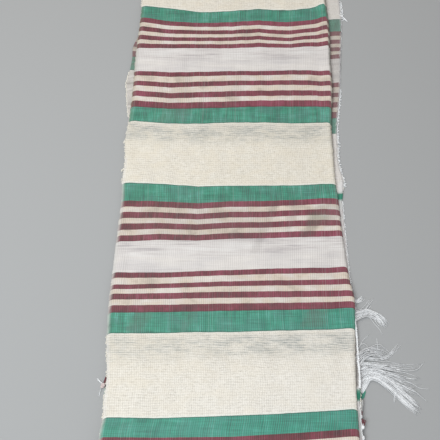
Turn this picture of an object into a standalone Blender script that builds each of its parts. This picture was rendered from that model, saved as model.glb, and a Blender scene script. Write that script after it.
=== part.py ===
"""Woven djellaba fabric: a cut length of striped cloth, folded in three across its width.

The cloth lies flat, top layer up, with its folds along +Y. Its near end (-Y) is turned under
in a hairpin, and the short lower run ends below the upper one in a fringe of bare warp ends,
two bundles of which come out at the right side (+X) and a small knot of them at the left.
"""

import math

import bmesh
import bpy

MM = 0.001

# The sheet and its folds
THICKNESS = 1.2 * MM
LAYER_GAP = 0.5 * MM
LAYERS = 3
PITCH = THICKNESS + LAYER_GAP
BEND = (PITCH + THICKNESS) / 2
STACK = LAYERS * THICKNESS + (LAYERS - 1) * LAYER_GAP
TURN_RADIUS = 0.8 * MM
LEFT_FOLD_LIFT = 0.8 * MM
FOLD_SOFTNESS = 20 * MM

# Places along the upper run, from its far end to its hairpin
FAR_END = 690 * MM
HAIRPIN = -50 * MM
TURN_CENTRE = HAIRPIN + STACK + TURN_RADIUS
LOWER_END_RIGHT = 44 * MM
LOWER_END_LEFT = 58 * MM
UNDER_LAYER_SHIFT = 25 * MM
SHIFT_SPREAD = 60 * MM

# Heights of the upper run's underside above the surface
HEIGHT_OVER_LOWER_RUN = STACK + 2 * TURN_RADIUS
HEIGHT_OVER_THREADS = 1.7 * MM

# Side edges, in mm: along the cloth, the top layer's free edge, the left fold of the layers
# below it, the top layer's right fold, the free edge of the lowest layer, and how far the top
# layer stands loose above the others at its right fold
EDGE_COLUMNS = ("along", "top_left", "left_fold", "right_fold", "under_right", "loose")
EDGES = (
    (690, -119.5, -117.0, 164.0, 185.5, 4.4),
    (633, -121.4, -119.0, 165.0, 186.8, 5.0),
    (595, -122.5, -121.5, 167.0, 186.9, 5.4),
    (558, -124.8, -126.0, 166.6, 183.9, 4.6),
    (522, -126.3, -132.1, 164.8, 179.6, 3.8),
    (487, -127.0, -136.0, 165.2, 176.9, 3.6),
    (453, -128.0, -134.0, 162.8, 172.9, 3.0),
    (420, -129.5, -130.6, 159.0, 167.5, 2.2),
    (388, -132.9, -129.5, 158.1, 165.1, 1.8),
    (357, -131.0, -128.0, 157.9, 164.1, 1.5),
    (327, -133.2, -130.0, 157.7, 168.6, 1.6),
    (298, -132.7, -130.0, 159.5, 165.6, 1.9),
    (241, -135.7, -132.5, 161.8, 165.7, 1.5),
    (188, -138.4, -135.0, 165.8, 166.4, 1.2),
    (162, -140.4, -137.0, 169.3, 167.5, 1.6),
    (113, -140.5, -137.0, 165.6, 168.6, 1.4),
    (66, -138.9, -136.0, 161.5, 166.9, 1.2),
    (22, -138.4, -135.5, 160.5, 164.0, 1.2),
    (-50, -138.0, -135.0, 160.0, 163.5, 1.2),
    (-100, -138.5, -135.5, 161.5, 165.0, 1.2),
    (-140, -138.5, -135.5, 163.5, 171.0, 1.2),
)

# Underside of the upper run: along the cloth (mm), height (m)
REST_COLUMNS = ("along", "height")
REST = (
    (205, 0.0),
    (168, HEIGHT_OVER_THREADS),
    (104, HEIGHT_OVER_THREADS),
    (64, HEIGHT_OVER_LOWER_RUN),
)

# Soft ridges of the top layer, in mm: one end, the other end, how far it spreads, its height
RIDGE_COLUMNS = ("x0", "y0", "x1", "y1", "spread", "height")
RIDGES = (
    (-96, 668, -118, 560, 16, 1.0),
    (-20, 690, 18, 610, 22, 0.9),
    (96, 660, 128, 500, 18, 1.3),
    (-104, 520, -70, 400, 24, 0.8),
    (30, 470, 96, 380, 26, 0.9),
    (-110, 330, -90, 210, 20, 1.0),
    (60, 300, 128, 250, 22, 0.9),
    (-30, 230, 40, 140, 26, 0.8),
    (126, 210, 136, 90, 18, 1.2),
    (-112, 150, -98, 20, 20, 1.0),
    (10, 70, 74, -20, 26, 0.8),
)

# Stations of one layer, as shares of its width between its two ends
LAYER_STATIONS = (0.0, 0.035, 0.12, 0.26, 0.42, 0.58, 0.74, 0.88, 0.965, 1.0)
FOLD_STEPS = 5
TURN_STEPS = 7
LOWER_STEPS = 5
FAR_STEP = 24.5 * MM
NEAR_STEP = 17 * MM
NEAR_PART = 208 * MM

# Fringe: bare warp ends, laid in flat locks on the surface
STRIP_FAR = 52 * MM
STRIP_GAP = 0.3 * MM
LOCK_HEIGHT = 0.9 * MM
LOCK_TIP_HEIGHT = 0.4 * MM
LOCK_STEPS = 15
ROOT_DEPTH = 3 * MM
ROOT_RISE = 0.15 * MM

# Gates that a bundle passes, in mm: its near side, its far side and the width of one lock
GATE_COLUMNS = ("near_x", "near_y", "far_x", "far_y", "width")
LARGE_LOCKS = 13
LARGE_STRIP = (122 * MM, 171.5 * MM)
LARGE_GATES = (
    (170.0, 52, 136, 52, 1.5),
    (176.0, 58, 136, 72, 1.4),
    (180.5, 65.5, 150, 89, 1.1),
    (188.0, 66.5, 187, 85, 0.9),
    (199.5, 58.5, 205, 81, 0.9),
    (221.0, 39.5, 226, 82, 1.5),
    (236.0, 27.5, 248, 86.5, 0.5),
)
PAIR_LOCKS = 2
PAIR_GATES = (
    (131.5, 52, 128, 52, 1.2),
    (131.0, 72, 127, 74, 1.2),
    (146.0, 92.5, 143, 97, 1.0),
    (180.0, 91.5, 180, 94.5, 1.0),
    (200.0, 91.0, 199, 93.5, 0.9),
    (215.0, 100.5, 212, 103, 0.8),
    (227.6, 108.4, 221.3, 110.8, 0.5),
)
SMALL_LOCKS = 7
SMALL_STRIP = (92 * MM, 118 * MM)
SMALL_GATES = (
    (115.5, 52, 95, 52, 1.5),
    (117.0, 84, 96, 88, 1.5),
    (136.0, 116, 122, 132, 1.3),
    (174.7, 137, 173, 150.5, 1.2),
    (188.0, 142.5, 188, 152.3, 1.1),
    (198.5, 137.5, 202.5, 145.5, 1.0),
    (205.5, 127, 212, 133.5, 0.6),
)

# Knot of warp ends at the left side, in mm
KNOT_CENTRE = (-140.2, 61.7)
KNOT_RADIUS = 3.2 * MM
KNOT_HEIGHT = 2.8 * MM
KNOT_LOCKS = 3
KNOT_STEPS = 6
KNOT_GATES = (
    (-140.6, 60.4, -140.6, 63.0, 0.9),
    (-145.2, 57, -145.6, 65, 0.9),
    (-144.7, 49.5, -149.3, 69.1, 0.5),
)

# Colours: linear RGB
WOOL = (0.76, 0.68, 0.56, 1.0)
WARP_WHITE = (0.74, 0.73, 0.70, 1.0)


def clear_scene():
    for item in list(bpy.data.objects):
        bpy.data.objects.remove(item, do_unlink=True)


def smooth(share):
    share = min(1.0, max(0.0, share))
    return share * share * (3 - 2 * share)


def read_table(rows, columns, name, along):
    """Value of a named column at a place along the cloth, on one smooth curve."""
    column = columns.index(name)
    places = [row[0] * MM for row in rows]
    values = [row[column] for row in rows]
    if along >= places[0]:
        return values[0]
    if along <= places[-1]:
        return values[-1]
    index = next(i for i in range(len(places) - 1) if along >= places[i + 1])

    def slope(i):
        low, high = max(0, i - 1), min(len(places) - 1, i + 1)
        return (values[high] - values[low]) / (places[high] - places[low])

    step = places[index + 1] - places[index]
    share = (along - places[index]) / step
    start, end = slope(index) * step, slope(index + 1) * step
    cubic = 2 * share**3 - 3 * share**2
    return (
        (cubic + 1) * values[index]
        + (share**3 - 2 * share**2 + share) * start
        - cubic * values[index + 1]
        + (share**3 - share**2) * end
    )


def edge(name, along):
    return read_table(EDGES, EDGE_COLUMNS, name, along) * MM


def rest_height(along):
    """Height of the upper run's underside, stepping down past the lower run and the fringe."""
    stops = [dict(zip(REST_COLUMNS, row)) for row in REST]
    for before, after in zip(stops, stops[1:]):
        if along >= after["along"] * MM:
            run = (before["along"] - after["along"]) * MM
            share = smooth((before["along"] * MM - along) / run)
            return before["height"] + share * (after["height"] - before["height"])
    return stops[-1]["height"]


def ridge_height(x, y):
    """Rise of the top layer at a point, from the soft ridges that lie near it."""
    total = 0.0
    for row in RIDGES:
        ridge = dict(zip(RIDGE_COLUMNS, row))
        ax, ay, bx, by = (ridge[key] * MM for key in ("x0", "y0", "x1", "y1"))
        run = (bx - ax) ** 2 + (by - ay) ** 2
        share = min(1.0, max(0.0, ((x - ax) * (bx - ax) + (y - ay) * (by - ay)) / run))
        away = math.hypot(x - ax - share * (bx - ax), y - ay - share * (by - ay))
        total += ridge["height"] * MM * math.exp(-((away / (ridge["spread"] * MM)) ** 2))
    return total


def near_edge(distance):
    """1 at a fold and 0 one softness away from it."""
    return 1 - smooth(distance / FOLD_SOFTNESS)


def layer_lift(layer, x, along, raised):
    """Rise of a layer above its flat place: the loose folds and the ridges."""
    if layer == 2:
        return 0.0
    left = LEFT_FOLD_LIFT * near_edge(x - edge("left_fold", along))
    ridges = ridge_height(x, along)
    if layer == 1:
        return raised * (left + 0.5 * ridges)
    right = edge("loose", along) * near_edge(edge("right_fold", along) - x)
    return raised * (left + ridges + right)


def fold_arc(x, low, high, side, under):
    """Centre line of a fold, from the upper layer's height to the lower one's, bulging to side."""
    radius = (high - low) / 2
    middle = (high + low) / 2
    points = []
    for step in range(1, FOLD_STEPS):
        angle = math.pi / 2 - math.pi * step / FOLD_STEPS
        across = x + side * radius * math.cos(angle)
        points.append((across, middle + radius * math.sin(angle), under))
    return points


def section_line(along, raised):
    """Centre line of the three layers, top layer first: (across, height in the stack, under).

    Under is 0 in the top layer and 1 in the layers below it, away from their right fold.
    """
    heights = [THICKNESS / 2 + (LAYERS - 1 - layer) * PITCH for layer in range(LAYERS)]
    right_bend = BEND + 0.5 * raised * edge("loose", along)
    left_bend = BEND + 0.5 * raised * LEFT_FOLD_LIFT
    ends = (
        (edge("top_left", along), edge("right_fold", along) - right_bend),
        (edge("right_fold", along) - right_bend, edge("left_fold", along) + left_bend),
        (edge("left_fold", along) + left_bend, edge("under_right", along)),
    )
    line = []
    for layer, (start, end) in enumerate(ends):
        points = []
        for share in LAYER_STATIONS:
            x = start + share * (end - start)
            under = (0.0, smooth((start - x) / SHIFT_SPREAD), 1.0)[layer]
            points.append((x, heights[layer] + layer_lift(layer, x, along, raised), under))
        if layer:
            side = 1 if layer == 1 else -1
            line += fold_arc(points[0][0], points[0][1], line[-1][1], side, points[0][2])
        line += points
    return line


def section_outline(along, raised):
    """Closed outline of the folded sheet, half its thickness to each side of the centre line."""
    line = section_line(along, raised)
    sides = ([], [])
    for index, (x, height, under) in enumerate(line):
        before = line[max(0, index - 1)]
        after = line[min(len(line) - 1, index + 1)]
        run, rise = after[0] - before[0], after[1] - before[1]
        length = math.hypot(run, rise)
        half = THICKNESS / 2
        offset = (-rise / length * half, run / length * half)
        sides[0].append((x + offset[0], height + offset[1], under))
        sides[1].append((x - offset[0], height - offset[1], under))
    return sides[0] + sides[1][::-1]


def path_stations():
    """Stations of the sheet's length: along, place in y and z, angle of the stack, raised."""
    stations = []
    along = FAR_END
    while along > TURN_CENTRE + 0.5 * NEAR_STEP:
        raised = smooth((along - TURN_CENTRE) / (40 * MM))
        stations.append((along, along, rest_height(along), 0.0, raised))
        along -= FAR_STEP if along > NEAR_PART else NEAR_STEP
    centre_height = STACK + TURN_RADIUS
    for step in range(TURN_STEPS + 1):
        angle = math.pi * step / TURN_STEPS
        y = TURN_CENTRE - TURN_RADIUS * math.sin(angle)
        z = centre_height + TURN_RADIUS * math.cos(angle)
        stations.append((TURN_CENTRE - step * 0.5 * MM, y, z, angle, 0.0))
    run = LOWER_END_RIGHT - TURN_CENTRE
    for step in range(1, LOWER_STEPS + 1):
        far = run * step / LOWER_STEPS
        stations.append((TURN_CENTRE - far, TURN_CENTRE + far, STACK, math.pi, 0.0))
    return stations


def end_shift(x, under, along, angle):
    """How far the sheet runs askew near its two cut ends."""
    if angle == 0.0:
        return -UNDER_LAYER_SHIFT * under * smooth((along - FAR_END + 80 * MM) / (80 * MM))
    if angle < math.pi:
        return 0.0
    share = (TURN_CENTRE - along) / (LOWER_END_RIGHT - TURN_CENTRE)
    right, left = edge("right_fold", along), edge("top_left", along)
    skew = (right - x) / (right - left)
    return (LOWER_END_LEFT - LOWER_END_RIGHT) * skew * smooth(share)


def make_material(name, colour, roughness):
    material = bpy.data.materials.new(name)
    material.use_nodes = True
    shader = material.node_tree.nodes["Principled BSDF"]
    shader.inputs["Base Color"].default_value = colour
    shader.inputs["Roughness"].default_value = roughness
    shader.inputs["Metallic"].default_value = 0.0
    return material


def make_object(name, mesh, material=None):
    item = bpy.data.objects.new(name, mesh)
    bpy.context.scene.collection.objects.link(item)
    if material:
        mesh.materials.append(material)
    return item


def mesh_from(bm, name):
    bmesh.ops.recalc_face_normals(bm, faces=bm.faces)
    mesh = bpy.data.meshes.new(name)
    bm.to_mesh(mesh)
    bm.free()
    return mesh


def bridge_sections(bm, sections):
    """One closed body through a row of closed sections."""
    rings = [[bm.verts.new(point) for point in section] for section in sections]
    count = len(rings[0])
    for ring, after in zip(rings, rings[1:]):
        for index in range(count):
            follow = (index + 1) % count
            bm.faces.new((ring[index], ring[follow], after[follow], after[index]))
    return rings


def cap_folded_section(bm, ring, flip):
    """End face of the folded sheet, as a row of short faces across its thickness."""
    half = len(ring) // 2
    for index in range(half - 1):
        upper, lower = ring[index], ring[2 * half - 1 - index]
        upper_next, lower_next = ring[index + 1], ring[2 * half - 2 - index]
        face = (upper, upper_next, lower_next, lower)
        bm.faces.new(face[::-1] if flip else face)


def make_cloth(material):
    sections = []
    for along, y, z, angle, raised in path_stations():
        section = []
        for x, height, under in section_outline(along, raised):
            shift = end_shift(x, under, along, angle)
            place = y - height * math.sin(angle) + shift
            section.append((x, place, z + height * math.cos(angle)))
        sections.append(section)
    bm = bmesh.new()
    rings = bridge_sections(bm, sections)
    cap_folded_section(bm, rings[0], False)
    cap_folded_section(bm, rings[-1], True)
    mesh = mesh_from(bm, "cloth")
    mesh.shade_smooth()
    mesh.set_sharp_from_angle(angle=math.radians(50))
    return make_object("cloth", mesh, material)


def curve_point(points, share):
    """Point on the smooth curve through a few points, share running from 0 to 1."""
    place = share * (len(points) - 1)
    index = min(int(place), len(points) - 2)
    part = place - index
    p1, p2 = points[index], points[index + 1]
    p0 = points[index - 1] if index else [2 * a - b for a, b in zip(p1, p2)]
    last = index + 2 < len(points)
    p3 = points[index + 2] if last else [2 * b - a for a, b in zip(p1, p2)]
    return [
        0.5
        * (
            2 * b
            + (c - a) * part
            + (2 * a - 5 * b + 4 * c - d) * part**2
            + (3 * b - a - 3 * c + d) * part**3
        )
        for a, b, c, d in zip(p0, p1, p2, p3)
    ]


def add_lock(bm, route, steps):
    """A four-sided lock on the surface, thin at its tip and a little raised at its root."""
    centres = [curve_point(route, step / steps) for step in range(steps + 1)]
    sections = []
    for step, (x, y, width) in enumerate(centres):
        before = centres[max(0, step - 1)]
        after = centres[min(steps, step + 1)]
        run, rise = after[0] - before[0], after[1] - before[1]
        length = math.hypot(run, rise)
        across = (-rise / length, run / length)
        half = 0.5 * width
        taper = smooth((step / steps - 0.6) / 0.4)
        top = LOCK_HEIGHT + taper * (LOCK_TIP_HEIGHT - LOCK_HEIGHT)
        base = ROOT_RISE if step == 0 else 0.0
        corners = ((-half, base), (half, base), (0.6 * half, top), (-0.6 * half, top))
        sections.append([(x + across[0] * s, y + across[1] * s, z) for s, z in corners])
    rings = bridge_sections(bm, sections)
    bm.faces.new(rings[0])
    bm.faces.new(rings[-1][::-1])


def bundle_routes(gates, count, root_depth):
    """Routes of a bundle's locks, side by side through its gates and apart from each other."""
    routes = []
    for lock in range(count):
        share = lock / (count - 1)
        route = []
        for row in gates:
            gate = dict(zip(GATE_COLUMNS, row))
            x = gate["near_x"] + share * (gate["far_x"] - gate["near_x"])
            y = gate["near_y"] + share * (gate["far_y"] - gate["near_y"])
            route.append([x * MM, y * MM, gate["width"] * MM])
        route[0][1] -= root_depth
        routes.append(route)
    return routes


def make_locks(name, routes, steps=LOCK_STEPS):
    """The locks alone, as a guide that is joined into their backing."""
    bm = bmesh.new()
    for route in routes:
        add_lock(bm, route, steps)
    guide = make_object(name, mesh_from(bm, name))
    guide.hide_render = True
    guide.display_type = "WIRE"
    return guide


def join_locks(backing, guide):
    union = backing.modifiers.new("locks", "BOOLEAN")
    union.operation = "UNION"
    union.solver = "EXACT"
    union.object = guide


def lower_end(x):
    """Where the lower run's bottom layer ends at a place across the cloth."""
    along = TURN_CENTRE - (LOWER_END_RIGHT - TURN_CENTRE)
    return LOWER_END_RIGHT + end_shift(x, 0.0, along, math.pi)


def make_strip(name, ends, material):
    """A narrow strip of the cloth's cut end, which holds the bare warp ends."""
    left, right = ends
    bm = bmesh.new()
    sections = []
    for x in (left, right):
        near = lower_end(x) + STRIP_GAP
        foot = ((x, near, 0.0), (x, STRIP_FAR, 0.0))
        sections.append(foot + tuple((x, y, THICKNESS) for x, y, z in reversed(foot)))
    rings = bridge_sections(bm, sections)
    bm.faces.new(rings[0])
    bm.faces.new(rings[-1][::-1])
    return make_object(name, mesh_from(bm, name), material)


def make_knot(name, material):
    """A small flattened knot that rests on the surface."""
    bm = bmesh.new()
    bmesh.ops.create_icosphere(bm, subdivisions=2, radius=1.0)
    for vert in bm.verts:
        vert.co.x = KNOT_CENTRE[0] * MM + vert.co.x * KNOT_RADIUS
        vert.co.y = KNOT_CENTRE[1] * MM + vert.co.y * KNOT_RADIUS
        vert.co.z = max(0.0, (0.4 + 0.6 * vert.co.z) * KNOT_HEIGHT)
    mesh = mesh_from(bm, name)
    mesh.shade_smooth()
    return make_object(name, mesh, material)


def make_fringe(material):
    large = make_strip("fringe_large", LARGE_STRIP, material)
    routes = bundle_routes(LARGE_GATES, LARGE_LOCKS, ROOT_DEPTH)
    routes += bundle_routes(PAIR_GATES, PAIR_LOCKS, ROOT_DEPTH)
    join_locks(large, make_locks("large_locks", routes))
    small = make_strip("fringe_small", SMALL_STRIP, material)
    routes = bundle_routes(SMALL_GATES, SMALL_LOCKS, ROOT_DEPTH)
    join_locks(small, make_locks("small_locks", routes))
    knot = make_knot("fringe_knot", material)
    routes = bundle_routes(KNOT_GATES, KNOT_LOCKS, 0.0)
    join_locks(knot, make_locks("knot_locks", routes, KNOT_STEPS))
    return [large, small, knot]


def centre_on_origin(parts):
    """Put the middle of the whole box's foot at the origin."""
    bpy.context.view_layer.update()
    view = bpy.context.evaluated_depsgraph_get()
    points = []
    for part in parts:
        shape = part.evaluated_get(view)
        points += [vert.co.copy() for vert in shape.data.vertices]
    middle_x = (min(p.x for p in points) + max(p.x for p in points)) / 2
    middle_y = (min(p.y for p in points) + max(p.y for p in points)) / 2
    for item in bpy.data.objects:
        item.location = (-middle_x, -middle_y, 0.0)


def main():
    clear_scene()
    wool = make_material("woven cloth", WOOL, 0.9)
    white = make_material("warp ends", WARP_WHITE, 0.8)
    parts = [make_cloth(wool)]
    parts += make_fringe(white)
    centre_on_origin(parts)


main()
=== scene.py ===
"""Woven djellaba fabric, folded in three, with its turned-under near end and loose warp ends."""

import math
import random

import bpy
import numpy as np
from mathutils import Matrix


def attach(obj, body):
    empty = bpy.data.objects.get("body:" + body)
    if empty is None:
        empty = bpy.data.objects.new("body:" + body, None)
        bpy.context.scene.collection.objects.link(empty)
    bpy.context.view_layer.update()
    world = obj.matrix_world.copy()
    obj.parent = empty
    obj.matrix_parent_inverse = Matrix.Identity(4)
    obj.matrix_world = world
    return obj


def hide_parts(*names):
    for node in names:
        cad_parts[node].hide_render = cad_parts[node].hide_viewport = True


MM = 0.001
# No point lies lower than this above the floor, in mm
LOWEST = 0.02
# Middle of the whole part in the drawing's own millimetres, which all tables below use
MIDDLE = np.array([49.2805, 320.0677, 0.0])

# The sheet and its folds, in mm
THICKNESS = 1.2
LAYER_GAP = 0.5
LAYERS = 3
PITCH = THICKNESS + LAYER_GAP
BEND = (PITCH + THICKNESS) / 2
STACK = LAYERS * THICKNESS + (LAYERS - 1) * LAYER_GAP
TURN_RADIUS = 0.8
LEFT_FOLD_LIFT = 0.8
FOLD_SOFTNESS = 20
FAR_END = 690
HAIRPIN = -50
TURN_CENTRE = HAIRPIN + STACK + TURN_RADIUS
LOWER_END_RIGHT = 44
LOWER_END_LEFT = 58
UNDER_LAYER_SHIFT = 25
SHIFT_SPREAD = 60
HEIGHT_OVER_LOWER_RUN = STACK + 2 * TURN_RADIUS
HEIGHT_OVER_THREADS = 1.7
RAISED_RUN = 40
CUT_END_RUN = 80

# Side edges: along the cloth, the top layer's free edge, the left fold of the layers below it,
# the top layer's right fold, the lowest layer's free edge, and how loose the right fold is
EDGE_COLUMNS = ("along", "top_left", "left_fold", "right_fold", "under_right", "loose")
EDGES = (
    (690, -119.5, -117.0, 164.0, 185.5, 4.4),
    (633, -121.4, -119.0, 165.0, 186.8, 5.0),
    (595, -122.5, -121.5, 167.0, 186.9, 5.4),
    (558, -124.8, -126.0, 166.6, 183.9, 4.6),
    (522, -126.3, -132.1, 164.8, 179.6, 3.8),
    (487, -127.0, -136.0, 165.2, 176.9, 3.6),
    (453, -128.0, -134.0, 162.8, 172.9, 3.0),
    (420, -129.5, -130.6, 159.0, 167.5, 2.2),
    (388, -132.9, -129.5, 158.1, 165.1, 1.8),
    (357, -131.0, -128.0, 157.9, 164.1, 1.5),
    (327, -133.2, -130.0, 157.7, 168.6, 1.6),
    (298, -132.7, -130.0, 159.5, 165.6, 1.9),
    (241, -135.7, -132.5, 161.8, 165.7, 1.5),
    (188, -138.4, -135.0, 165.8, 166.4, 1.2),
    (162, -139.4, -137.0, 169.3, 167.5, 1.6),
    (113, -138.6, -137.0, 165.6, 168.6, 1.4),
    (66, -134.1, -134.6, 161.5, 166.9, 1.2),
    (44, -135.9, -135.0, 161.0, 165.5, 1.2),
    (24, -135.6, -134.8, 160.5, 164.0, 1.2),
    (6, -138.6, -135.4, 160.4, 163.9, 1.2),
    (-50, -138.0, -135.0, 160.0, 163.5, 1.2),
    (-100, -138.5, -135.5, 161.5, 165.0, 1.2),
    (-140, -138.5, -135.5, 163.5, 171.0, 1.2),
)

# Soft bulges of the lower layers' left fold, from loose weft: along the cloth, reach, spread
LEFT_BULGES = ((549, 4.2, 15), (484, 1.6, 9), (462, 1.1, 8), (446, 0.8, 6))
# Underside of the upper run: along the cloth, height
REST = (
    (205, 0.0),
    (168, HEIGHT_OVER_THREADS),
    (104, HEIGHT_OVER_THREADS),
    (64, HEIGHT_OVER_LOWER_RUN),
)

# Soft ridges and troughs of the top layer: one end, the other end, spread, height
RIDGES = (
    (-96, 668, -118, 560, 16, 1.0),
    (-20, 690, 18, 610, 22, 0.9),
    (96, 660, 128, 500, 18, 1.3),
    (-104, 520, -70, 400, 24, 0.8),
    (30, 470, 96, 380, 26, 0.9),
    (-110, 330, -90, 210, 20, 1.0),
    (60, 300, 128, 250, 22, 0.9),
    (-30, 230, 40, 140, 26, 0.8),
    (126, 210, 136, 90, 18, 1.2),
    (-112, 150, -98, 20, 20, 1.0),
    (10, 70, 74, -20, 26, 0.8),
)

# Pattern of the weft, as places in mm from the near edge of one wool band, and its colour there
REPEAT = 292.1
GREEN = (0.072, 0.325, 0.217)
MAROON = (0.205, 0.053, 0.066)
CREAM = (0.78, 0.665, 0.555)
WHITE = (0.76, 0.705, 0.68)
WOOL = (0.82, 0.765, 0.675)
STRIPE_GROUP = (7.3, 7.7, 7.3, 7.7, 7.3, 7.7, 7.3)
# How far the maroon weft presses into the cream beside it
MAROON_SPREAD = 0.2
GREEN_BAND = 24.5
WHITE_BAND = 41.0
WOOL_BAND = 97.5

# Where the pattern's lines cross the middle of the cloth: place in the pattern, place along
LINES = (
    (-110, 725),
    (0, 614),
    (24.5, 594),
    (31.8, 586.5),
    (43, 575.5),
    (58, 563),
    (73, 550),
    (121.5, 502),
    (136.5, 484),
    (151.5, 466),
    (166.5, 449),
    (170, 443.5),
    (194.5, 418.5),
    (292, 320),
    (316.5, 298),
    (335, 279),
    (365, 249),
    (413.5, 199),
    (428.5, 184),
    (443.5, 170.5),
    (458.5, 155),
    (462, 150.5),
    (486.5, 123.5),
    (584, 26.5),
    (608.5, 4.5),
    (820, -209),
)
# How far the lines bow away from the camera elsewhere: place along at the middle, then the bow at
# each station across the cloth
BOW_STATIONS = (-120, -75, -30, 15, 60, 105, 140, 156)
BOWS = (
    (725, 7, 3, -1, 0, 2, 2, 8, 10),
    (614, 10, 6, -1.5, 0, 5, 1, 6.5, 11.5),
    (594, 9, 2, -1, 0, 4, -0.5, 4.5, 8),
    (575, 6.5, 1.5, 0, 0, 3, -1.5, 4, 6.5),
    (563, 3, 0, -0.5, 0, 2.5, -2, 3.5, 4.5),
    (550, 0, 0.5, 0.5, 0, 2.5, 0, 3.5, 3),
    (502, 0, -2.5, -1.5, 0, 0, 1.5, 0, -1),
    (484, 0.5, -3.5, -1, 0, 0.5, 1.5, 0, -1.5),
    (466, 1.5, -3, -1, 0, 1, 2, 2, 0),
    (444, 1.5, -2.5, -1, 0, 1.5, 2, 2, 0),
    (419, 2.5, -2, -2, 0, -0.5, -1.5, -0.5, -1),
    (320, 4, 2.5, -1, 0, 0, 0.5, 2.5, 2),
    (298, 0.5, -0.5, -3, 0, 0, 2, 4.5, 3.5),
    (279, -0.5, -1, -3, 0, 0, 2.5, 4, 2.5),
    (249, -4, -1.5, -3, 0, 0.5, 2, 2.5, 3.5),
    (199, -3, -3.5, -1.5, 0, 2, 3, 3, 4.5),
    (184, -4.5, -3, -1.5, 0, 1, 1.5, 2, 3),
    (171, -2, -1.5, -0.5, 0, 0.5, 1, 1, 1.5),
    (150, -2.5, -2, -1, 0, 0.5, 1.5, 2, 3.5),
    (123, -1.5, -1.5, 0, 0, 1.5, 2.5, 3, 4.5),
    (26, -2, -3, -1.5, 0, 1.5, 4, 6, 7),
    (4, -0.5, -1, -0.5, 0, 2.5, 5, 7.5, 8.5),
    (-209, -1, -1, -1, 0, 2, 4, 6, 7),
)
# Darker patches of the top layer: middle, half size, slant, strength. The two broad ones first are
# painted shade; the small ones darken its colour in spots
SHADES = (
    (-30, 270, 95, 29, 0.0, 0.17),
    (-10, 178, 150, 26, 0.0, 0.05),
    (141, 279, 20, 17, 0.6, 0.27),
    (119, 258, 10, 12, 0.6, 0.27),
    (96, 274, 5, 24, 0.42, 0.16),
    (60, 262, 6, 40, 0.42, 0.14),
    (-60, 470, 12, 26, 0.42, 0.12),
    (-100, 136, 12, 13, 0.42, 0.22),
    (-40, 136, 6, 13, 0.42, 0.16),
    (118, 140, 14, 12, 0.42, 0.30),
    (-64, 430, 20, 12, 0.42, 0.22),
    (24, 470, 10, 30, 0.42, 0.10),
)
# Where green shows on another colour: through the top layer, and at the lowest layer's free edge
GREEN_THROUGH = (130, 275, 14, 5, 0.22)
GREEN_CORNERS = ((41.5, 55.5), (299, 312))
# How far the lower layers' pattern lies towards the near end, against the top layer's
OFFSET_PLACES = (-50, 100, 300, 460, 620)
OFFSETS = (6, 10, 14, 16, 25)
HAIRPIN_LENGTH = 24
# At the left fold of the lower layers, far from the near end, their pattern lies the other way
LEFT_OFFSET = -87
LEFT_OFFSET_FROM = 385
# How far the weft bends towards the near end at the right fold and at the free left edge
RIGHT_DROP, RIGHT_DROP_NEAR, RIGHT_DROP_RUN = 4.5, 1.6, 6.5
LEFT_DROP, LEFT_DROP_RUN = 2.6, 6.0

# Bundles of warp ends. Each gate: near side x and y, far side x and y
FAN_GATES = (
    (168.0, 51, 124, 51),
    (174.0, 60, 134, 72),
    (180.5, 67.0, 154, 88),
    (190.0, 68.0, 186, 87),
    (205.0, 62.0, 206, 84),
    (222.0, 49.0, 227, 84.5),
    (238.0, 38.0, 248, 87),
)
LOCK_GATES = (
    (170.5, 51, 142, 51),
    (176.5, 58.5, 158, 68),
    (181.0, 65.5, 176, 78),
    (189.0, 65.0, 190, 75.5),
    (203.0, 54.0, 207, 65),
    (221.0, 36.0, 227, 47),
    (235.0, 25.5, 241.5, 34),
)
ARC_GATES = (
    (160.0, 51, 140, 51),
    (164.0, 72, 152, 78),
    (172.0, 86, 166, 96),
    (184.0, 94, 180, 105),
    (196.0, 93, 195, 106),
    (206.0, 87, 208, 100),
    (212.0, 78, 217, 88),
)
PAIR_GATES = (
    (131.5, 51, 128, 51),
    (131.0, 72, 127, 74),
    (146.0, 92.5, 143, 97),
    (180.0, 90.0, 180, 94),
    (200.0, 90.5, 199, 93.5),
    (215.0, 100, 212, 102.5),
    (228.0, 108.4, 221.3, 111),
)
SMALL_GATES = (
    (116.5, 51, 94, 51),
    (117.0, 84, 96, 88),
    (136.0, 116, 122, 132),
    (174.7, 139.5, 173, 150),
    (188.0, 142.5, 188, 151.5),
    (198.5, 136, 202.0, 145),
    (205.0, 125.5, 212.5, 133.5),
)
WISP_GATES = (
    (150.0, 150, 148, 156),
    (166.0, 157, 165, 162),
    (173.0, 159, 172, 164),
    (180.0, 162, 178, 167),
    (186.0, 165, 183, 171),
)
# Bundles of each fringe: gates, number of ends, seed, jitter, arch, and what else differs
LARGE_BUNDLES = (
    (FAN_GATES, 84, 5, 2.4, 4.2, {"lean": 1.15, "lengths": (0.66, 1.0), "thick": (0.36, 0.54)}),
    (LOCK_GATES, 46, 12, 0.9, 3.6, {"lengths": (0.93, 1.0), "thick": (0.34, 0.5), "sway": (0.1, 0.5)}),
    (ARC_GATES, 26, 13, 2.6, 6.0, {"lengths": (0.58, 1.0), "thick": (0.29, 0.4)}),
    (PAIR_GATES, 8, 6, 0.7, 1.8, {}),
)
SMALL_BUNDLES = (
    (SMALL_GATES, 42, 7, 1.0, 3.4, {"lengths": (0.92, 1.0), "thick": (0.34, 0.48), "sway": (0.1, 0.5)}),
    (WISP_GATES, 12, 8, 0.6, 1.2, {}),
)
# Strip of the cloth's cut end that holds each fringe: left and right end, corner radius
LARGE_STRIP = (122.0, 174.0, 8.0)
SMALL_STRIP = (92.0, 118.0, 0.0)
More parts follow.
